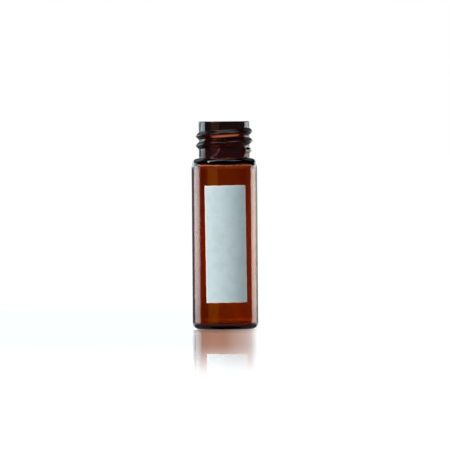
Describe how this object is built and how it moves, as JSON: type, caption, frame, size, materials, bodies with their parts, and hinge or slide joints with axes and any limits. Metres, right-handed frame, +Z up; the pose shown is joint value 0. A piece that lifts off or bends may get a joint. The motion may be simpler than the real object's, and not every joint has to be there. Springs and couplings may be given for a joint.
{
  "type": "glass sample vial",
  "caption": "Small upright amber glass screw-neck vial with a rounded shoulder, an open mouth and a blank write-on label",
  "frame": {"origin": "centre of the base, on the surface that the vial stands on", "axes": "+Z up the vial's axis to the mouth, -Y towards the labelled front, +X to the right of it"},
  "size_m": [0.0146, 0.0147, 0.0462],
  "materials": {
    "amber_glass": "polished",
    "label_paper": "satin"
  },
  "bodies": {
    "root": {"vial": "amber_glass", "write_on_label": "label_paper"}
  },
  "joints": []
}
